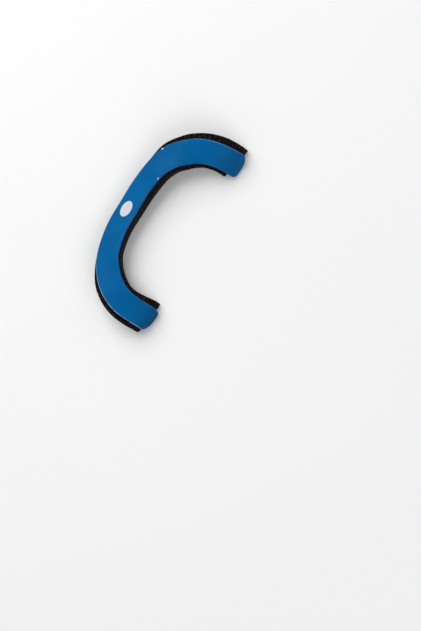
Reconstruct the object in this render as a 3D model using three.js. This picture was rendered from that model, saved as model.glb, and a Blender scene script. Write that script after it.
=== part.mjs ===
import * as THREE from 'three';

// Finger splint: a C of coated sheet metal over a foam pad, bent to an arch across its width.
// Sizes are in millimetres. It lies with the pad down on Z = 0. +Y runs from the near arm of the
// C to its far arm, and +X points to the open side of the C.

// Metal strip
const PLATE_WIDTH = 7.5;
const PLATE_THICKNESS = 1.0;
const PLATE_EDGE_RADIUS = 0.3;
const PLATE_OUTER_CORNER_RADIUS = 3.6;
const PLATE_INNER_CORNER_RADIUS = 1.8;

// Foam pad under it
const PAD_OVERHANG = 1.7;
const PAD_THICKNESS = 2.2;
const PAD_EDGE_RADIUS = 0.4;
const PAD_CORNER_RADIUS = 0.6;
const GLUE_GAP = 0.3;

// How far the pad's cut ends lie back from the metal's ends, at its outer and its inner edge
const FAR_SETBACK_OUTER = 0.1;
const FAR_SETBACK_INNER = 2.8;
const NEAR_SETBACK_OUTER = 1.2;
const NEAR_SETBACK_INNER = 0.1;

// Length at each end over which the slant of a cut fades out
const SLANT_REACH = 9;

// Overall form of the strip's middle line: how far each arm of the C lies from its middle, how
// far the C reaches across, and how far its tips drop below its highest point
const HALF_SPAN = 26.6;
const REACH = 24.3;
const TIP_DROP = 7.0;

// Stations along each half of the C, from beside the middle of its back to its tip. along and drop
// are shares of HALF_SPAN and TIP_DROP, and across is a share of REACH. lean in degrees turns the
// strip about its own length, and above nought its outer edge dips. outer and inner are the shares
// of PAD_OVERHANG that the pad shows beyond the metal's two edges.
const MIDDLE = { along: 0, across: 0.012, drop: 0.5, lean: 33, outer: 0.65, inner: 0.3 };
const FAR_HALF = [
  { along: 0.27, across: 0.024, drop: 0.46, lean: 33, outer: 0.65, inner: 0.45 },
  { along: 0.525, across: 0.074, drop: 0.33, lean: 29, outer: 0.75, inner: 0.5 },
  { along: 0.645, across: 0.13, drop: 0.235, lean: 18, outer: 0.9, inner: 0.6 },
  { along: 0.745, across: 0.205, drop: 0.145, lean: 8, outer: 1, inner: 0.7 },
  { along: 0.827, across: 0.308, drop: 0.065, lean: 0, outer: 1.1, inner: 0.8 },
  { along: 0.9, across: 0.42, drop: 0.01, lean: -8, outer: 1.1, inner: 0.9 },
  { along: 0.953, across: 0.555, drop: 0.01, lean: -15, outer: 1.1, inner: 0.9 },
  { along: 0.982, across: 0.695, drop: 0.1, lean: -17, outer: 1.15, inner: 0.9 },
  { along: 0.996, across: 0.84, drop: 0.33, lean: -16, outer: 1.15, inner: 0.9 },
  { along: 1.001, across: 0.925, drop: 0.57, lean: -13, outer: 1.15, inner: 0.9 },
  { along: 1.006, across: 1, drop: 1, lean: -10, outer: 1.15, inner: 0.9 },
];
const NEAR_HALF = [
  { along: 0.27, across: 0.01, drop: 0.46, lean: 32, outer: 0.65, inner: 0.2 },
  { along: 0.525, across: 0.06, drop: 0.33, lean: 31, outer: 0.65, inner: 0.15 },
  { along: 0.65, across: 0.114, drop: 0.235, lean: 26, outer: 0.75, inner: 0.25 },
  { along: 0.76, across: 0.2, drop: 0.145, lean: 17, outer: 0.9, inner: 0.4 },
  { along: 0.855, across: 0.303, drop: 0.065, lean: 9, outer: 1, inner: 0.6 },
  { along: 0.928, across: 0.42, drop: 0.01, lean: 2, outer: 1, inner: 0.75 },
  { along: 0.975, across: 0.555, drop: 0.01, lean: -2, outer: 1, inner: 0.9 },
  { along: 0.992, across: 0.695, drop: 0.1, lean: -3, outer: 1, inner: 1 },
  { along: 0.998, across: 0.84, drop: 0.33, lean: -1, outer: 1, inner: 1.1 },
  { along: 1.003, across: 0.92, drop: 0.57, lean: 2, outer: 1, inner: 1.2 },
  { along: 1.006, across: 0.985, drop: 1, lean: 5, outer: 1, inner: 1.3 },
];

// Fineness of the faceted solids
const STATIONS = 84;
const STATIONS_PER_END = 8;
const POINTS_PER_CORNER = 3;
const SPANS_ACROSS = 3;
const LENGTH_DIVISIONS = 400;

// Share of an edge rounding that is used up where the strip ends
const END_SHARPENING = 0.8;

// Rounds of turning that bring three feet level
const SETTLE_ROUNDS = 6;

// A station's place on the middle line: side is 1 for the far half and -1 for the near half
function stationPoint(station, side) {
  const along = side * station.along * HALF_SPAN;
  return new THREE.Vector3(station.across * REACH, along, -station.drop * TIP_DROP);
}

// Lengthwise, inward and upward directions of the strip at a distance from its far tip, with the
// shares of the overhang that the pad has there
function makeCarrier() {
  const stations = [...FAR_HALF].reverse().concat(MIDDLE, NEAR_HALF);
  const points = stations.map((station, i) => stationPoint(station, i < FAR_HALF.length ? 1 : -1));
  const line = new THREE.CatmullRomCurve3(points, false, 'centripetal');
  line.arcLengthDivisions = LENGTH_DIVISIONS;
  const leans = stations.map((station, i) => new THREE.Vector2(i, station.lean));
  const leanCurve = new THREE.SplineCurve(leans);
  const margins = stations.map((station) => new THREE.Vector2(station.outer, station.inner));
  const marginCurve = new THREE.SplineCurve(margins);
  const length = line.getLength();
  function frameAt(distance) {
    const share = THREE.MathUtils.clamp(distance / length, 0, 1);
    const origin = line.getPointAt(share);
    const along = line.getTangentAt(share);
    const inward = new THREE.Vector3(0, 0, 1).cross(along).normalize();
    const station = line.getUtoTmapping(share);
    inward.applyAxisAngle(along, THREE.MathUtils.degToRad(leanCurve.getPoint(station).y));
    const up = along.clone().cross(inward);
    const margin = marginCurve.getPoint(station);
    return { origin, inward, up, outerShare: margin.x, innerShare: margin.y };
  }
  return { length, frameAt };
}

// Distances at which a strip between two cuts gets a ring, closer together where its ends round
function ringDistances(start, end, rounded) {
  const near = [];
  for (let i = 0; i < STATIONS_PER_END; i += 1) {
    const angle = (i / STATIONS_PER_END) * (Math.PI / 2);
    near.push(start + rounded * (1 - Math.cos(angle)));
  }
  const between = [];
  for (let i = 0; i <= STATIONS; i += 1) {
    between.push(THREE.MathUtils.lerp(start + rounded, end - rounded, i / STATIONS));
  }
  const far = near.map((distance) => start + end - distance).reverse();
  return [...near, ...between, ...far];
}

// How far a rounding of the given radius cuts in, at a depth below the face it starts from
function roundingInset(radius, depth) {
  if (depth >= radius) return 0;
  return radius - Math.sqrt(radius * radius - (radius - depth) ** 2);
}

// Outline of one cross-section between its outer and inner edge. Heights count from the top face
// of the metal.
function sectionOutline(outer, inner, top, bottom, edgeRadius) {
  const corners = [
    { across: inner - edgeRadius, height: top - edgeRadius, from: 0 },
    { across: outer + edgeRadius, height: top - edgeRadius, from: Math.PI / 2 },
    { across: outer + edgeRadius, height: bottom + edgeRadius, from: Math.PI },
    { across: inner - edgeRadius, height: bottom + edgeRadius, from: (3 * Math.PI) / 2 },
  ];
  const outline = [];
  corners.forEach((corner, index) => {
    for (let i = 0; i < POINTS_PER_CORNER; i += 1) {
      const angle = corner.from + (i / (POINTS_PER_CORNER - 1)) * (Math.PI / 2);
      outline.push({
        across: corner.across + edgeRadius * Math.cos(angle),
        height: corner.height + edgeRadius * Math.sin(angle),
      });
    }
    if (index % 2 === 0) {
      const next = corners[index + 1];
      for (let i = 1; i < SPANS_ACROSS; i += 1) {
        outline.push({
          across: THREE.MathUtils.lerp(corner.across, next.across, i / SPANS_ACROSS),
          height: index === 0 ? top : bottom,
        });
      }
    }
  });
  return outline;
}

// Where a point of a ring lies along the strip, given its share of the width from the outer edge
function slanted(distance, share, size) {
  const startFade = Math.max(0, 1 - (distance - size.start) / SLANT_REACH);
  const endFade = Math.max(0, 1 - (size.end - distance) / SLANT_REACH);
  const shift = size.startSlant * startFade - size.endSlant * endFade;
  return distance + (share - 0.5) * shift;
}

// A flat cap over a ring, as a fan from the ring's middle
function addCap(positions, indices, ring, perRing, first) {
  const middle = new THREE.Vector3();
  for (let i = 0; i < perRing; i += 1) {
    const at = 3 * (ring * perRing + i);
    middle.add(new THREE.Vector3(positions[at], positions[at + 1], positions[at + 2]));
  }
  middle.divideScalar(perRing);
  const hub = positions.length / 3;
  positions.push(middle.x, middle.y, middle.z);
  for (let i = 0; i < perRing; i += 1) {
    const a = ring * perRing + i;
    const b = ring * perRing + ((i + 1) % perRing);
    if (first) indices.push(hub, b, a);
    else indices.push(hub, a, b);
  }
}

// A closed strip between two cuts, laid on the carrier, with rounded edges and corners
function stripGeometry(carrier, size) {
  const rounded = Math.max(size.outerRadius, size.innerRadius) + size.edgeRadius;
  const distances = ringDistances(size.start, size.end, rounded);
  const positions = [];
  let perRing = 0;
  distances.forEach((distance) => {
    const fromEnd = Math.min(distance - size.start, size.end - distance);
    const endInset = roundingInset(size.edgeRadius, fromEnd);
    const { outerShare, innerShare } = carrier.frameAt(distance);
    const outerEdge = endInset - PLATE_WIDTH / 2 - size.overhang * outerShare;
    const innerEdge = PLATE_WIDTH / 2 + size.overhang * innerShare - endInset;
    const outer = outerEdge + roundingInset(size.outerRadius, fromEnd);
    const inner = innerEdge - roundingInset(size.innerRadius, fromEnd);
    const edge = size.edgeRadius - endInset * END_SHARPENING;
    const outline = sectionOutline(outer, inner, size.top - endInset, size.bottom + endInset, edge);
    perRing = outline.length;
    outline.forEach(({ across, height }) => {
      const share = (across - outerEdge) / (innerEdge - outerEdge);
      const { origin, inward, up } = carrier.frameAt(slanted(distance, share, size));
      const point = origin.clone().addScaledVector(inward, across).addScaledVector(up, height);
      positions.push(point.x, point.y, point.z);
    });
  });
  const rings = distances.length;
  const indices = [];
  for (let r = 0; r < rings - 1; r += 1) {
    for (let i = 0; i < perRing; i += 1) {
      const next = (i + 1) % perRing;
      const a = r * perRing + i;
      const b = r * perRing + next;
      const c = (r + 1) * perRing + next;
      const d = (r + 1) * perRing + i;
      indices.push(a, b, c, a, c, d);
    }
  }
  addCap(positions, indices, 0, perRing, true);
  addCap(positions, indices, rings - 1, perRing, false);
  const geometry = new THREE.BufferGeometry();
  geometry.setAttribute('position', new THREE.Float32BufferAttribute(positions, 3));
  geometry.setIndex(indices);
  return geometry;
}

// The metal strip over the whole length
function plateGeometry(carrier) {
  return stripGeometry(carrier, {
    start: 0,
    startSlant: 0,
    end: carrier.length,
    endSlant: 0,
    overhang: 0,
    top: 0,
    bottom: -PLATE_THICKNESS,
    edgeRadius: PLATE_EDGE_RADIUS,
    outerRadius: PLATE_OUTER_CORNER_RADIUS,
    innerRadius: PLATE_INNER_CORNER_RADIUS,
  });
}

// The pad under the strip, with both its ends cut at a slant
function padGeometry(carrier) {
  const top = -PLATE_THICKNESS - GLUE_GAP;
  return stripGeometry(carrier, {
    start: (FAR_SETBACK_OUTER + FAR_SETBACK_INNER) / 2,
    startSlant: FAR_SETBACK_INNER - FAR_SETBACK_OUTER,
    end: carrier.length - (NEAR_SETBACK_OUTER + NEAR_SETBACK_INNER) / 2,
    endSlant: NEAR_SETBACK_INNER - NEAR_SETBACK_OUTER,
    overhang: PAD_OVERHANG,
    top,
    bottom: top - PAD_THICKNESS,
    edgeRadius: PAD_EDGE_RADIUS,
    outerRadius: PAD_CORNER_RADIUS,
    innerRadius: PAD_CORNER_RADIUS,
  });
}

// Lowest point of all geometries among those that a test lets through
function lowestPoint(geometries, test) {
  let lowest = null;
  geometries.forEach((geometry) => {
    const list = geometry.attributes.position;
    for (let i = 0; i < list.count; i += 1) {
      const point = new THREE.Vector3().fromBufferAttribute(list, i);
      if (test(point) && (lowest === null || point.z < lowest.z)) lowest = point;
    }
  });
  return lowest;
}

// Turns the splint until both its tips and the back of the C stand on one level
function settle(geometries) {
  const openSide = REACH / 2;
  for (let round = 0; round < SETTLE_ROUNDS; round += 1) {
    const back = lowestPoint(geometries, (point) => point.x < openSide);
    const far = lowestPoint(geometries, (point) => point.x > openSide && point.y > 0);
    const near = lowestPoint(geometries, (point) => point.x > openSide && point.y < 0);
    const normal = far.sub(near).cross(back.sub(near)).normalize();
    if (normal.z < 0) normal.negate();
    const turn = new THREE.Quaternion().setFromUnitVectors(normal, new THREE.Vector3(0, 0, 1));
    geometries.forEach((geometry) => geometry.applyQuaternion(turn));
  }
}

// Stands the splint on Z = 0 with its box centred over the origin
function centreOnFloor(geometries) {
  const box = new THREE.Box3();
  geometries.forEach((geometry) => {
    geometry.computeBoundingBox();
    box.union(geometry.boundingBox);
  });
  const middle = box.getCenter(new THREE.Vector3());
  geometries.forEach((geometry) => geometry.translate(-middle.x, -middle.y, -box.min.z));
}

function namedMesh(name, geometry, look) {
  geometry.computeVertexNormals();
  const mesh = new THREE.Mesh(geometry, new THREE.MeshStandardMaterial(look));
  mesh.name = name;
  return mesh;
}

function buildSplint() {
  const carrier = makeCarrier();
  const plate = plateGeometry(carrier);
  const pad = padGeometry(carrier);
  settle([plate, pad]);
  centreOnFloor([plate, pad]);
  const group = new THREE.Group();
  group.name = 'finger_splint';
  group.add(namedMesh('splint_plate', plate, { color: 0x0b5f97, roughness: 0.42, metalness: 0.15 }));
  group.add(namedMesh('foam_pad', pad, { color: 0x141315, roughness: 0.95, metalness: 0 }));
  return group;
}

export default buildSplint();
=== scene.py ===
# %% [markdown]
# # A finger splint, dressed in Blender
#
# The splint is a strip of coated sheet metal, glued on a wider strip of fabric-faced foam. Both
# are cut flat and then bent to a C, with an arch across the strip so that it hugs what it holds.
# The measured model is loaded first as a fixed frame. Everything made below lies in that frame,
# in metres, so no piece has to be fitted by eye afterwards.

# %% Load the frame
import math

import bmesh
import bpy
import numpy as np
from mathutils import Matrix, Vector


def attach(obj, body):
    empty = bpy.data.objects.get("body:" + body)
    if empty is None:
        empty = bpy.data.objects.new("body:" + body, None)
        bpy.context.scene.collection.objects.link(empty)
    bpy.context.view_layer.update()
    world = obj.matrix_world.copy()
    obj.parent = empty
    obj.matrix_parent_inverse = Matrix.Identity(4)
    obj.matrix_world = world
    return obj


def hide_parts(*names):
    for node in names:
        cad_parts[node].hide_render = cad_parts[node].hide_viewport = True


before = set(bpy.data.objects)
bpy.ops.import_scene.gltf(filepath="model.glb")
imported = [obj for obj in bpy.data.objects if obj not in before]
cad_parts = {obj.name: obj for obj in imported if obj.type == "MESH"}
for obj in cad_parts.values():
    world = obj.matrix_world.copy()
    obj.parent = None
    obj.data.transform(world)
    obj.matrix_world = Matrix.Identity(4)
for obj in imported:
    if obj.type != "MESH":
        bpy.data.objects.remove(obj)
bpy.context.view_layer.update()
MM = 0.001

# %% [markdown]
# ## The camera
#
# A long lens from well above flattens the C the way a product photograph does. A camera can be
# aimed by a Track To constraint, but a roll is easier to state as three turns: a tilt about X, a
# swing about Y and the roll of the picture about the line of sight.

# %% Camera over the splint
CAMERA_TILT = math.radians(0.575)
CAMERA_SWING = math.radians(6.296)
CAMERA_ROLL = math.radians(29.527)
CAMERA_OFFSET = Vector((15.235, -28.072, 600.0)) * MM
PICTURE_HEIGHT = 191.2 * MM

camera = bpy.data.objects.new("camera", bpy.data.cameras.new("camera"))
bpy.context.scene.collection.objects.link(camera)
aim = (
    Matrix.Rotation(CAMERA_TILT, 4, "X")
    @ Matrix.Rotation(CAMERA_SWING, 4, "Y")
    @ Matrix.Rotation(CAMERA_ROLL, 4, "Z")
)
camera.matrix_world = aim @ Matrix.Translation(CAMERA_OFFSET)
camera.data.lens = camera.data.sensor_width * CAMERA_OFFSET.z / PICTURE_HEIGHT
camera.data.clip_start = 10 * MM
bpy.context.scene.camera = camera
print("lens in mm:", round(camera.data.lens, 1))

# %% [markdown]
# ## A short way to write materials
#
# A procedural material is a network of nodes, which is slow to read as code. Here one small class
# wraps an output socket. Adding or multiplying two wrapped sockets makes the Math node, so a
# pattern reads like a formula. Any other node comes from a single method, which takes the type,
# then the settings, and then what goes into its sockets.

# %% The shader class
class Value:
    """One output socket in a material, with arithmetic that adds Math nodes."""

    def __init__(self, tree, socket=None):
        self.tree = tree
        self.socket = socket

    def node(self, kind, settings=None, inputs=None, output=0):
        made = self.tree.nodes.new(kind)
        for name, value in (settings or {}).items():
            setattr(made, name, value)
        for name, value in (inputs or {}).items():
            if isinstance(value, Value):
                self.tree.links.new(value.socket, made.inputs[name])
            else:
                made.inputs[name].default_value = value
        return Value(self.tree, made.outputs[output])

    def math(self, operation, *others):
        values = dict(enumerate([self, *others]))
        return self.node("ShaderNodeMath", {"operation": operation}, values)

    def __add__(self, other):
        return self.math("ADD", other)

    __radd__ = __add__

    def __mul__(self, other):
        return self.math("MULTIPLY", other)

    __rmul__ = __mul__

    def __sub__(self, other):
        return self.math("SUBTRACT", other)

    def __rsub__(self, other):
        return self * -1 + other

    def __truediv__(self, other):
        return self.math("DIVIDE", other)

    def __abs__(self):
        return self.math("ABSOLUTE")

    def sine(self):
        return self.math("SINE")

    def most(self, other):
        return self.math("MAXIMUM", other)

    def rise(self, low, high):
        """0 below low, 1 above high, and a soft step between them."""
        settings = {"interpolation_type": "SMOOTHSTEP"}
        return self.node("ShaderNodeMapRange", settings, {0: self, 1: low, 2: high})

    def blend(self, first, second):
        """A colour between two, with this value as the share of the second."""
        return self.node("ShaderNodeMix", {"data_type": "RGBA"}, {0: self, 6: first, 7: second}, 2)

    def noise(self, size, detail=2.0, stretch=(1, 1, 1)):
        """Cloudy noise over a position in millimetres, with blots about size wide."""
        scaled = self.node(
            "ShaderNodeVectorMath",
            {"operation": "MULTIPLY"},
            {0: self, 1: tuple(1 / (size * axis) for axis in stretch)},
        )
        return self.node("ShaderNodeTexNoise", {}, {"Vector": scaled, "Scale": 1, "Detail": detail})


def start_material(name, **constants):
    """A material with one Principled shader, its constant sockets set, ready to be fed."""
    material = bpy.data.materials.new(name)
    material.use_nodes = True
    shader = material.node_tree.nodes["Principled BSDF"]
    for socket, value in constants.items():
        shader.inputs[socket.replace("_", " ")].default_value = value
    return material, shader, Value(material.node_tree)


def feed(shader, **values):
    for socket, value in values.items():
        name = socket.replace("_", " ")
        shader.id_data.links.new(value.socket, shader.inputs[name])


def bump(start, height, depth_mm):
    """Turns a pattern from 0 to 1 into dents that are depth_mm deep."""
    inputs = {"Height": height, "Strength": 1.0, "Distance": depth_mm * MM}
    return start.node("ShaderNodeBump", {}, inputs)


print("shader class ready")

# %% [markdown]
# ## Floor and light
#
# Product photographs of small goods are made on white with very large soft lights, so nothing on
# the coating shows a hard edge. A bright even sky fills the shadows, and one broad lamp on the
# left gives the arch its slow fall from light to dark.

# %% Floor, sky and lamps
FLOOR_SIDE = 4.0
SKY_STRENGTH = 0.40
LAMPS = [
    {"name": "broad_left", "at": (-0.42, 0.20, 0.55), "side": 0.60, "power": 4.0},
    {"name": "soft_right", "at": (0.50, -0.25, 0.45), "side": 0.50, "power": 1.2},
]

mesh = bpy.data.meshes.new("floor")
sheet = bmesh.new()
bmesh.ops.create_grid(sheet, x_segments=1, y_segments=1, size=FLOOR_SIDE / 2)
sheet.to_mesh(mesh)
sheet.free()
floor = bpy.data.objects.new("floor", mesh)
bpy.context.scene.collection.objects.link(floor)
floor_paint, floor_shader, start = start_material("pale_floor", Roughness=0.8)
floor_place = start.node("ShaderNodeTexCoord", output="Object")
patches = floor_place.noise(0.12, 3.0)
feed(floor_shader, Base_Color=patches.blend((0.91, 0.91, 0.91, 1), (0.94, 0.94, 0.94, 1)))
mesh.materials.append(floor_paint)

sky = bpy.data.worlds.new("sky")
sky.use_nodes = True
sky.node_tree.nodes["Background"].inputs["Color"].default_value = (1, 1, 1, 1)
sky.node_tree.nodes["Background"].inputs["Strength"].default_value = SKY_STRENGTH
bpy.context.scene.world = sky

for lamp in LAMPS:
    light = bpy.data.lights.new(lamp["name"], "AREA")
    light.size = lamp["side"]
    light.energy = lamp["power"]
    holder = bpy.data.objects.new(lamp["name"], light)
    bpy.context.scene.collection.objects.link(holder)
    holder.location = lamp["at"]
    holder.rotation_mode = "QUATERNION"
    holder.rotation_quaternion = (-Vector(lamp["at"])).to_track_quat("-Z", "Y")
bpy.context.scene.view_settings.view_transform = "Standard"
print("lamps:", [lamp["name"] for lamp in LAMPS])

# %% [markdown]
# ## The line that both strips follow
#
# The frame holds the metal as a solid made of cross-sections, one after another. Walking outward
# from the point in the middle of its near end reaches one cross-section at each step, so the
# line, the arch and the width can all be measured from the model instead of being typed again.
# A set has no order of its own, so each layer is sorted, and every run gives the same numbers.

# %% Read the cross-sections of a strip
MERGE_DISTANCE = 0.002 * MM


def cross_sections(node):
    """The rings of points of a CAD strip, from its near end to its far end."""
    solid = bmesh.new()
    solid.from_mesh(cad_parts[node].data)
    bmesh.ops.remove_doubles(solid, verts=solid.verts, dist=MERGE_DISTANCE)
    solid.verts.index_update()
    hubs = sorted(solid.verts, key=lambda vert: len(vert.link_edges))[-2:]
    layer = [min(hubs, key=lambda vert: vert.co.y)]
    reached = set(layer)
    rings = []
    while True:
        around = {edge.other_vert(vert) for vert in layer for edge in vert.link_edges}
        layer = sorted(around - reached, key=lambda vert: vert.index)
        if len(layer) < 3:
            break
        reached.update(layer)
        rings.append(np.array([vert.co for vert in layer]))
    solid.free()
    return rings


plate_rings = cross_sections("splint_plate")
pad_rings = cross_sections("foam_pad")
print("cross-sections:", len(plate_rings), "of the metal and", len(pad_rings), "of the pad")

# %% [markdown]
# ## Directions along the strip
#
# Each ring is flat, so three directions describe it: the widest one runs across the strip, the
# next one through its thickness, and the last one, in which the ring has no depth, runs along the
# strip. A singular value decomposition finds all three at once. It leaves their signs open, so
# they are carried on from the ring in the middle of the strip, where the signs are plain.

# %% Measure the line
def directions(rings):
    """The inward, along and up direction of each ring, with signs that agree."""
    found = [np.linalg.svd(ring - ring.mean(0))[2] for ring in rings]
    inward = np.array([rows[0] for rows in found])
    up = np.array([rows[1] for rows in found])
    middle = len(rings) // 2
    inward[middle] *= np.sign(inward[middle][0])
    up[middle] *= np.sign(up[middle][2])
    for order in (range(middle + 1, len(rings)), range(middle - 1, -1, -1)):
        for index in order:
            step = 1 if index < middle else -1
            inward[index] *= np.sign(inward[index] @ inward[index + step])
            up[index] *= np.sign(up[index] @ up[index + step])
    return inward, np.cross(up, inward), up


def extents(rings, direction):
    spans = [ring @ axis for ring, axis in zip(rings, direction)]
    return np.array([span.max() - span.min() for span in spans])


inward, along, up = directions(plate_rings)
widths = extents(plate_rings, inward)
PLATE_WIDTH = float(widths.max())
PLATE_THICKNESS = float(extents(plate_rings, up).max())
centres = np.array([ring.mean(0) for ring in plate_rings])
whole = np.flatnonzero(widths > PLATE_WIDTH - 0.01 * MM)

# Towards the rounded ends a ring's own middle wanders, so the line is carried on by its direction
for order, back in ((range(whole[0] - 1, -1, -1), 1), (range(whole[-1] + 1, len(centres)), -1)):
    for index in order:
        heading = along[index] + along[index + back]
        last = centres[index + back]
        reach = (centres[index] - last) @ along[index] / (heading @ along[index])
        centres[index] = last + reach * heading

line = centres + up * PLATE_THICKNESS / 2
steps = np.linalg.norm(np.diff(line, axis=0), axis=1)
distance = np.concatenate([[0], np.cumsum(steps)])
STRIP_LENGTH = float(distance[-1])
print("strip in mm:", [round(size / MM, 2) for size in (STRIP_LENGTH, PLATE_WIDTH, PLATE_THICKNESS)])

# %% [markdown]
# ## Bending a flat blank
#
# Metal and foam come off the press as flat blanks, and flat is also the easy way to model them:
# straight cuts, even spacing, and a place on the blank that a pattern can follow. This helper then
# does what the bending tool does. A point that lies some way along the blank moves to that place
# on the measured line, and its distance across and above the blank stays the same. A Curve
# modifier could bend it too, but not with the arch across its width.

# %% The bending helper
def smooth_at(values, places):
    """Values on the line at any distances along it, with no kink from one ring to the next."""
    slopes = np.gradient(values, distance, axis=0)
    after = np.clip(np.searchsorted(distance, places), 1, len(distance) - 1)
    before = after - 1
    gap = (distance[after] - distance[before])[:, None]
    t = ((places - distance[before])[:, None]) / gap
    start = (2 * t**3 - 3 * t**2 + 1) * values[before] + (t**3 - 2 * t**2 + t) * gap * slopes[before]
    end = (3 * t**2 - 2 * t**3) * values[after] + (t**3 - t**2) * gap * slopes[after]
    return start + end


def bent(flat):
    """Points of a flat blank (across, along, height), moved to where they lie on the splint."""
    places = np.clip(flat[:, 1], 0, STRIP_LENGTH)
    middle = smooth_at(line, places)
    side = smooth_at(inward, places)
    top = smooth_at(up, places)
    side /= np.linalg.norm(side, axis=1)[:, None]
    top /= np.linalg.norm(top, axis=1)[:, None]
    return middle + side * flat[:, :1] + top * flat[:, 2:]


def points_of(mesh):
    flat = np.empty(len(mesh.vertices) * 3)
    mesh.vertices.foreach_get("co", flat)
    return flat.reshape(-1, 3)


def set_points(mesh, points):
    mesh.vertices.foreach_set("co", points.ravel())
    mesh.update()


def keep_flat_place(mesh, flat):
    """Stores where each point lay on the flat blank, in millimetres, for the patterns to follow."""
    stored = mesh.attributes.new("flat_place", "FLOAT_VECTOR", "POINT")
    stored.data.foreach_set("vector", (flat / MM).ravel())


print("middle of the back in mm:", (bent(np.array([[0, STRIP_LENGTH / 2, 0]])) / MM).round(1))

# %% [markdown]
# ## Cutting a blank
#
# A blank starts from four corners. Bevelling a corner point rounds it, one extrusion gives the
# thickness, and bevelling the sharp rim takes the edge off. A bend needs points to bend at, so
# the blank is then sliced into short stations by planes, which is what Bisect does. The slices
# are what keeps the curve smooth, so no Subdivision modifier is needed for it.

# %% The blank cutter
SHARP_ANGLE = math.radians(60)
CORNER_SEGMENTS = 14
RIM_SEGMENTS = 4
ALONG_RANK = 1e6
ACROSS_RANK = 1e3


def slice_at(blank, places, direction):
    for place in places:
        everything = [*blank.verts, *blank.edges, *blank.faces]
        normal = Vector(direction)
        bmesh.ops.bisect_plane(blank, geom=everything, plane_co=normal * place, plane_no=normal)


def even(low, high, pitch):
    """Places between two ends, evenly spaced and about a pitch apart."""
    count = max(2, round((high - low) / pitch))
    return [low + (high - low) * index / count for index in range(1, count)]


def put_in_order(blank):
    """Numbers points, edges and faces by place, because slicing leaves them in a chance order."""

    def rank(place):
        return place.y * ALONG_RANK + place.x * ACROSS_RANK + place.z

    blank.verts.sort(key=lambda vert: rank(vert.co))
    blank.edges.sort(key=lambda edge: rank(edge.verts[0].co + edge.verts[1].co))
    blank.faces.sort(key=lambda face: rank(face.calc_center_median()))


def cut_blank(corners, top, thickness, rim, pitch, across, down):
    """A flat blank with rounded corners and rims, sliced ready to be bent."""
    blank = bmesh.new()
    points = [blank.verts.new((x, y, top)) for x, y, radius in corners]
    blank.faces.new(points)
    for point, (x, y, radius) in zip(points, corners):
        bmesh.ops.bevel(
            blank,
            geom=[point],
            affect="VERTICES",
            offset=radius,
            segments=CORNER_SEGMENTS,
            profile=0.5,
            material=-1,
        )
    lower = bmesh.ops.extrude_face_region(blank, geom=blank.faces[:], use_keep_orig=True)["geom"]
    lower = [part for part in lower if isinstance(part, bmesh.types.BMVert)]
    bmesh.ops.translate(blank, verts=lower, vec=(0, 0, -thickness))
    bmesh.ops.recalc_face_normals(blank, faces=blank.faces)
    rims = [edge for edge in blank.edges if edge.calc_face_angle(0) > SHARP_ANGLE]
    bmesh.ops.bevel(
        blank,
        geom=rims,
        affect="EDGES",
        offset=rim,
        segments=RIM_SEGMENTS,
        profile=0.5,
        material=-1,
    )
    xs, ys, radii = zip(*corners)
    slice_at(blank, even(min(ys), max(ys), pitch), (0, 1, 0))
    slice_at(blank, even(min(xs), max(xs), across), (1, 0, 0))
    slice_at(blank, down, (0, 0, 1))
    put_in_order(blank)
    mesh = bpy.data.meshes.new("blank")
    blank.to_mesh(mesh)
    blank.free()
    mesh.shade_smooth()
    return mesh


def add_piece(name, mesh, material):
    piece = bpy.data.objects.new(name, mesh)
    mesh.name = name
    bpy.context.scene.collection.objects.link(piece)
    if material:
        mesh.materials.append(material)
    return piece


# %% [markdown]
# ## The metal strip
#
# The strip is 1 mm aluminium with its ends rounded: the outer corner with a large radius and the
# inner corner with a small one. Its rim is softened, because it was tumbled before it was coated.

# %% Blank and bend the metal
OUTER_ROUND = 3.6 * MM
INNER_ROUND = 1.8 * MM
METAL_RIM = 0.28 * MM
METAL_PITCH = 0.45 * MM
METAL_ACROSS = 0.7 * MM

metal_mesh = cut_blank(
    corners=[
        (-PLATE_WIDTH / 2, 0, OUTER_ROUND),
        (PLATE_WIDTH / 2, 0, INNER_ROUND),
        (PLATE_WIDTH / 2, STRIP_LENGTH, INNER_ROUND),
        (-PLATE_WIDTH / 2, STRIP_LENGTH, OUTER_ROUND),
    ],
    top=0,
    thickness=PLATE_THICKNESS,
    rim=METAL_RIM,
    pitch=METAL_PITCH,
    across=METAL_ACROSS,
    down=[-PLATE_THICKNESS / 2],
)
flat_metal = points_of(metal_mesh)
keep_flat_place(metal_mesh, flat_metal)
set_points(metal_mesh, bent(flat_metal))
metal_strip = add_piece("metal_strip", metal_mesh, None)
print("metal strip:", len(metal_mesh.vertices), "points")

# %% [markdown]
# ## The coating
#
# The strip is powder coated in a satin blue. Powder flows out to a faint orange peel, and the
# coating first chips off at the rim. The tips are painted darker, as painted shade where the arch
# turns away from the light, and a pale line along the rim and round the near tip's inner corner is a
# painted highlight. A plain pale oval is printed in the middle of its back. Every pattern reads the
# place on the flat blank, so the rim highlight and the oval stay true to the strip however it is
# bent.

# %% Coated metal
BLUE = (0.0, 0.117, 0.330, 1)
BLUE_DEEP = (0.0, 0.103, 0.295, 1)
# Painted shade: the darker blue of the tips
BLUE_TIP_SHADE = (0.001, 0.055, 0.165, 1)
# Painted highlight: the pale line along the rim and at the near tip's corner
RIM_HIGHLIGHT = (0.36, 0.48, 0.70, 1)
CHIP_PALE = (0.62, 0.66, 0.72, 1)
RUST = (0.22, 0.10, 0.05, 1)
PRINT_PALE = (0.63, 0.63, 0.68, 1)
PRINT_MIDDLE = (-0.1, 44.3)
PRINT_HALF = (1.9, 2.6)

# Chips as the place across, the place along and the radius, in millimetres
CHIPS = [(-3.55, 64.1, 0.30), (3.60, 57.8, 0.22)]

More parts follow.
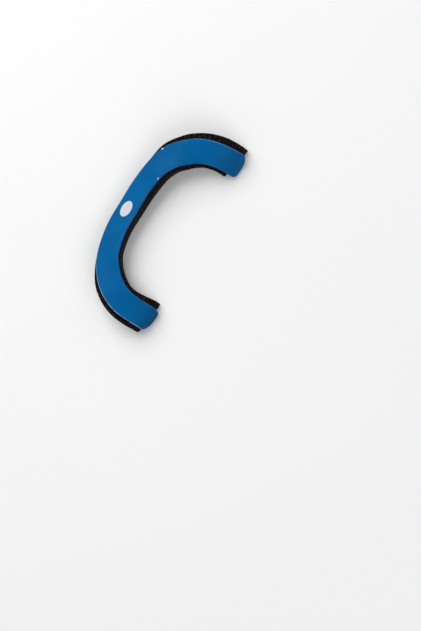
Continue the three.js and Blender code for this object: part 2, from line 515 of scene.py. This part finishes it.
coat, coat_shader, start = start_material(
    "coated_metal", Metallic=0.0, Specular_IOR_Level=0.04
)
place = start.node("ShaderNodeAttribute", {"attribute_name": "flat_place"}, output="Vector")
split = start.node("ShaderNodeSeparateXYZ", {}, {0: place}).socket.node
across_mm = Value(start.tree, split.outputs["X"])
along_mm = Value(start.tree, split.outputs["Y"])
height_mm = Value(start.tree, split.outputs["Z"])


def spot(middle, half, soft):
    """1 inside an oval on the strip and 0 outside it."""
    x = (across_mm - middle[0]) / half[0]
    y = (along_mm - middle[1]) / half[1]
    return 1 - (x * x + y * y).rise(1 - soft, 1 + soft)


length_mm = STRIP_LENGTH / MM
half_mm = PLATE_WIDTH / 2 / MM
on_top = height_mm.rise(-0.2, -0.1)
near_part = 1 - along_mm.rise(24.0, 31.0)
far_part = along_mm.rise(58.0, 66.0)
# Painted shade: darker towards both tips, the far one at half strength
tip_shade = 1 - along_mm.rise(-1.0, 8.0) + along_mm.rise(length_mm - 12.0, length_mm + 6.0) * 0.5
drift = place.noise(9.0, 2.0)
peel = place.noise(0.45, 1.0)
rub = place.noise(0.16, 3.0, stretch=(1, 6, 1)).rise(0.60, 0.75)
# A band along the top of the rim, for the painted highlight and the rust flecks
rim_band = abs(across_mm).rise(half_mm - 0.27, half_mm - 0.10) * height_mm.rise(-0.40, -0.10)
broken = place.noise(1.1, 3.0, stretch=(0.4, 3, 1)).rise(0.38, 0.58)
outer_side = (across_mm * -1).rise(0.0, 1.0)
# Painted highlight along the rim, strongest on the near arm's outer side
rim_highlight = rim_band * broken * (outer_side * (near_part * 0.9 + far_part * 0.14) + 0.08)
flecks = place.noise(0.55, 1.0).rise(0.54, 0.60) * rim_band * outer_side
flecks = flecks * along_mm.rise(9.0, 11.0) * (1 - along_mm.rise(18.0, 20.0))
chips = spot(CHIPS[0][:2], (CHIPS[0][2], CHIPS[0][2]), 0.3)
for across, along_strip, radius in CHIPS[1:]:
    chips = chips.most(spot((across, along_strip), (radius, radius), 0.3))
chips = chips * height_mm.rise(-0.32, -0.18)
# Painted highlight round the inner corner of the near tip
round_mm = INNER_ROUND / MM
corner_x = (across_mm - (half_mm - round_mm)).most(0)
corner_y = (round_mm - along_mm).most(0)
from_corner = (corner_x * corner_x + corner_y * corner_y).math("SQRT")
tip_corner_highlight = from_corner.rise(round_mm - 0.50, round_mm - 0.20) * across_mm.rise(0.8, 2.8)
tip_corner_highlight = tip_corner_highlight * (1 - along_mm.rise(1.6, 3.2)) * height_mm.rise(-0.45, -0.15)
oval = spot(PRINT_MIDDLE, PRINT_HALF, 0.06) * on_top

colour = drift.rise(0.35, 0.65).blend(BLUE, BLUE_DEEP)
# Painted shade at the tips
colour = tip_shade.blend(colour, BLUE_TIP_SHADE)
# Painted highlight on the rim and round the near tip's corner
colour = (rim_highlight.most(tip_corner_highlight * 0.9)).blend(colour, RIM_HIGHLIGHT)
colour = flecks.blend(colour, RUST)
colour = chips.blend(colour, CHIP_PALE)
colour = oval.blend(colour, PRINT_PALE)
feed(
    coat_shader,
    Base_Color=colour,
    Roughness=0.42 + rub * 0.10 + oval * 0.15 - rim_highlight * 0.1,
    Normal=bump(start, peel * 0.6 + oval - chips, 0.012),
)
metal_mesh.materials.append(coat)
print("coating: oval of", [round(2 * half, 1) for half in PRINT_HALF], "mm")

# %% [markdown]
# ## Where the pad's edges lie
#
# The pad shows a wider margin beyond the metal on one side than on the other, and the margins
# change along the strip. So every point of the CAD pad is placed against the nearest part of the
# line: how far along, how far across, and how high above the metal's top face.

# %% Measure the pad against the line
END_RINGS = 9


def against_line(points):
    """Across, along and height of points, measured from the nearest part of the line."""
    gaps = points[:, None, :] - line[None, :, :]
    nearest = (gaps**2).sum(2).argmin(1)
    offset = points - line[nearest]
    beside = (offset * inward[nearest]).sum(1)
    above = (offset * up[nearest]).sum(1)
    further = (offset * along[nearest]).sum(1) * np.sign(along[nearest] @ (line[-1] - line[0]))
    return np.stack([beside, distance[nearest] + further, above], axis=1)


measured = [against_line(ring) for ring in pad_rings[END_RINGS:-END_RINGS]]
outer_points = np.array([ring[ring[:, 0].argmin()] for ring in measured])
inner_points = np.array([ring[ring[:, 0].argmax()] for ring in measured])
PAD_TOP = float(measured[len(measured) // 2][:, 2].max())
PAD_THICKNESS = PAD_TOP - float(measured[len(measured) // 2][:, 2].min())


def edges_at(places):
    """Where the pad's outer and inner edge lie across the strip, at distances along it."""
    outer = np.interp(places, outer_points[:, 1], outer_points[:, 0])
    inner = np.interp(places, inner_points[:, 1], inner_points[:, 0])
    return outer, inner


print("pad top and thickness in mm:", round(PAD_TOP / MM, 2), round(PAD_THICKNESS / MM, 2))

# %% [markdown]
# ## The pad, cut flat
#
# The pad is foam with a knitted fabric laminated to both faces, cut a little wider than the metal
# and with slanted ends. It is cut as a straight blank, and its two long edges are then moved to
# the margins measured above. The blank starts slightly small, because it swells in the next step.
# Under the metal its top face is raised by a bed of glue, so no light shows between the two.

# %% Blank the pad
PAD_HALF = 5.0 * MM
NEAR_SETBACKS = (0.5 * MM, 0.1 * MM)
FAR_SETBACKS = (0.1 * MM, 2.8 * MM)
START_SMALL = 0.16 * MM
GLUE_BED_RISE = 0.20 * MM
GLUE_BED_HALF = PLATE_WIDTH / 2 - 0.6 * MM
PAD_ROUND = 0.5 * MM
NEAR_OUTER_ROUND = 1.2 * MM
PAD_RIM = 0.22 * MM
PAD_PITCH = 0.4 * MM
PAD_ACROSS = 0.6 * MM
PAD_DOWN = 0.27 * MM
ON_TOP = 0.01 * MM

pad_mesh = cut_blank(
    corners=[
        (-PAD_HALF, NEAR_SETBACKS[0] + START_SMALL, NEAR_OUTER_ROUND),
        (PAD_HALF, NEAR_SETBACKS[1] + START_SMALL, PAD_ROUND),
        (PAD_HALF, STRIP_LENGTH - FAR_SETBACKS[1] - START_SMALL, PAD_ROUND),
        (-PAD_HALF, STRIP_LENGTH - FAR_SETBACKS[0] - START_SMALL, PAD_ROUND),
    ],
    top=PAD_TOP,
    thickness=PAD_THICKNESS - START_SMALL,
    rim=PAD_RIM,
    pitch=PAD_PITCH,
    across=PAD_ACROSS,
    down=even(PAD_TOP - PAD_THICKNESS, PAD_TOP, PAD_DOWN),
)
flat_pad = points_of(pad_mesh)
outer, inner = edges_at(flat_pad[:, 1])
share = (flat_pad[:, 0] / PAD_HALF + 1) / 2
flat_pad[:, 0] = (outer + START_SMALL) * (1 - share) + (inner - START_SMALL) * share
glued = (np.abs(flat_pad[:, 0]) < GLUE_BED_HALF) & (flat_pad[:, 2] > PAD_TOP - ON_TOP)
flat_pad[glued, 2] += GLUE_BED_RISE
set_points(pad_mesh, flat_pad)
keep_flat_place(pad_mesh, flat_pad)
print("pad blank:", len(pad_mesh.vertices), "points")

# %% [markdown]
# ## Letting the foam swell
#
# Foam glued to metal is held where the glue is and bulges wherever it is free. A cloth simulation
# with air pressure inside gives that: the glued part of the top face is pinned and the rest is
# blown out. It runs on a copy ten times the size, because the solver is tuned for things the size
# of a cushion. The movement is then capped, so the pad keeps its size.

# %% Cloth simulation of the pad
SWELL_SCALE = 10.0
SWELL_FRAMES = 20
SWELL_CAP = 0.16 * MM
SWELL_PRESSURE = 4.0
HELD_DEPTH = 0.05 * MM
HELD_HALF = PLATE_WIDTH / 2 + 0.1 * MM


def swell(mesh):
    """How far each point of a padded blank moves when it is blown out where it isn't glued."""
    flat = points_of(mesh)
    copy = mesh.copy()
    set_points(copy, flat * SWELL_SCALE)
    blown = add_piece("swelling_pad", copy, None)
    glued = blown.vertex_groups.new(name="glued")
    held = (np.abs(flat[:, 0]) < HELD_HALF) & (flat[:, 2] > PAD_TOP - HELD_DEPTH)
    glued.add([int(index) for index in np.flatnonzero(held)], 1.0, "REPLACE")
    cloth = blown.modifiers.new("swell", "CLOTH")
    cloth.settings.vertex_group_mass = "glued"
    cloth.settings.use_pressure = True
    cloth.settings.uniform_pressure_force = SWELL_PRESSURE
    cloth.settings.effector_weights.gravity = 0.0
    cloth.collision_settings.use_collision = False
    cloth.point_cache.frame_start = 1
    cloth.point_cache.frame_end = SWELL_FRAMES
    for number in range(1, SWELL_FRAMES + 1):
        bpy.context.scene.frame_set(number)
    evaluated = blown.evaluated_get(bpy.context.evaluated_depsgraph_get())
    moved = points_of(evaluated.data) / SWELL_SCALE - flat
    bpy.context.scene.frame_set(1)
    bpy.data.objects.remove(blown)
    bpy.data.meshes.remove(copy)
    return moved


movement = np.zeros_like(flat_pad)
movement = swell(pad_mesh)
size = np.linalg.norm(movement, axis=1)
print("free swelling in mm: most", round(size.max() / MM, 2), "mean", round(size.mean() / MM, 2))
movement *= (SWELL_CAP * np.tanh(size / SWELL_CAP) / np.maximum(size, 1e-9))[:, None]

# %% [markdown]
# ## Bending the pad
#
# The swollen blank goes through the same bend as the metal, so the two fit without any searching.
# The two or three spots that the splint stands on are pressed flat.

# %% Bend the pad
on_splint = bent(flat_pad + movement)
on_splint[:, 2] = np.maximum(on_splint[:, 2], 0)
set_points(pad_mesh, on_splint)
faced_pad = add_piece("faced_pad", pad_mesh, None)
print("faced pad:", len(pad_mesh.vertices), "points")

# %% [markdown]
# ## Knitted face and foam core
#
# Both faces of the pad are a black knit with short loops in rows, and the cut side shows the foam
# between them, dull and full of pores. One material does both: the height on the flat blank says
# which layer a point lies in, so the border between knit and foam is as crisp as a cut. Loops here
# and there are painted paler, as painted highlights where they catch the light.

# %% Faced foam
KNIT = (0.0040, 0.0032, 0.0027, 1)
# Painted highlight: paler knit loops where they catch the light
KNIT_GLINT = (0.058, 0.046, 0.035, 1)
FOAM = (0.010, 0.0085, 0.0075, 1)
FACE_DEPTH = 0.5 * MM
LAYER_BLEND = 0.05
ROW_PITCH = 1.25
LOOP_PITCH = 0.55

cloth, cloth_shader, start = start_material(
    "faced_foam", Specular_IOR_Level=0.10, Sheen_Weight=0.02, Sheen_Roughness=0.5
)
place = start.node("ShaderNodeAttribute", {"attribute_name": "flat_place"}, output="Vector")
split = start.node("ShaderNodeSeparateXYZ", {}, {0: place}).socket.node
across_mm = Value(start.tree, split.outputs["X"])
along_mm = Value(start.tree, split.outputs["Y"])
height_mm = Value(start.tree, split.outputs["Z"])
pad_top_mm = PAD_TOP / MM
pad_bottom_mm = (PAD_TOP - PAD_THICKNESS) / MM
face_mm = FACE_DEPTH / MM
below_top_face = (pad_top_mm - height_mm).rise(face_mm - LAYER_BLEND, face_mm + LAYER_BLEND)
above_low_face = (height_mm - pad_bottom_mm).rise(face_mm - LAYER_BLEND, face_mm + LAYER_BLEND)
foam = below_top_face * above_low_face

rows = (along_mm * (2 * math.pi / ROW_PITCH)).sine() * 0.5 + 0.5
loops = (across_mm * (2 * math.pi / LOOP_PITCH)).sine() * 0.5 + 0.5
fibres = place.noise(0.12, 3.0)
# Patches where the painted highlights on the knit show
glint_patches = place.noise(0.55, 3.0, stretch=(0.6, 1.6, 1)).rise(0.48, 0.64)
knit = rows * 0.5 + loops * 0.35 + fibres * 0.5
pores = place.noise(0.30, 4.0)

# Painted highlights on the knit loops
glints = glint_patches * (rows * loops).rise(0.20, 0.65)
dark = glints.blend(KNIT, KNIT_GLINT)
colour = foam.blend(dark, FOAM)
feed(
    cloth_shader,
    Base_Color=colour,
    Roughness=0.88 + fibres * 0.1,
    Normal=bump(start, knit * (1 - foam) + pores * foam, 0.10),
)
pad_mesh.materials.append(cloth)
print("knit rows every", ROW_PITCH, "mm")

# %% Put the pieces on the frame
for piece, node, slot in (
    (metal_strip, "splint_plate", "coated_metal"),
    (faced_pad, "foam_pad", "faced_foam"),
):
    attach(piece, "root")
    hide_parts(node)
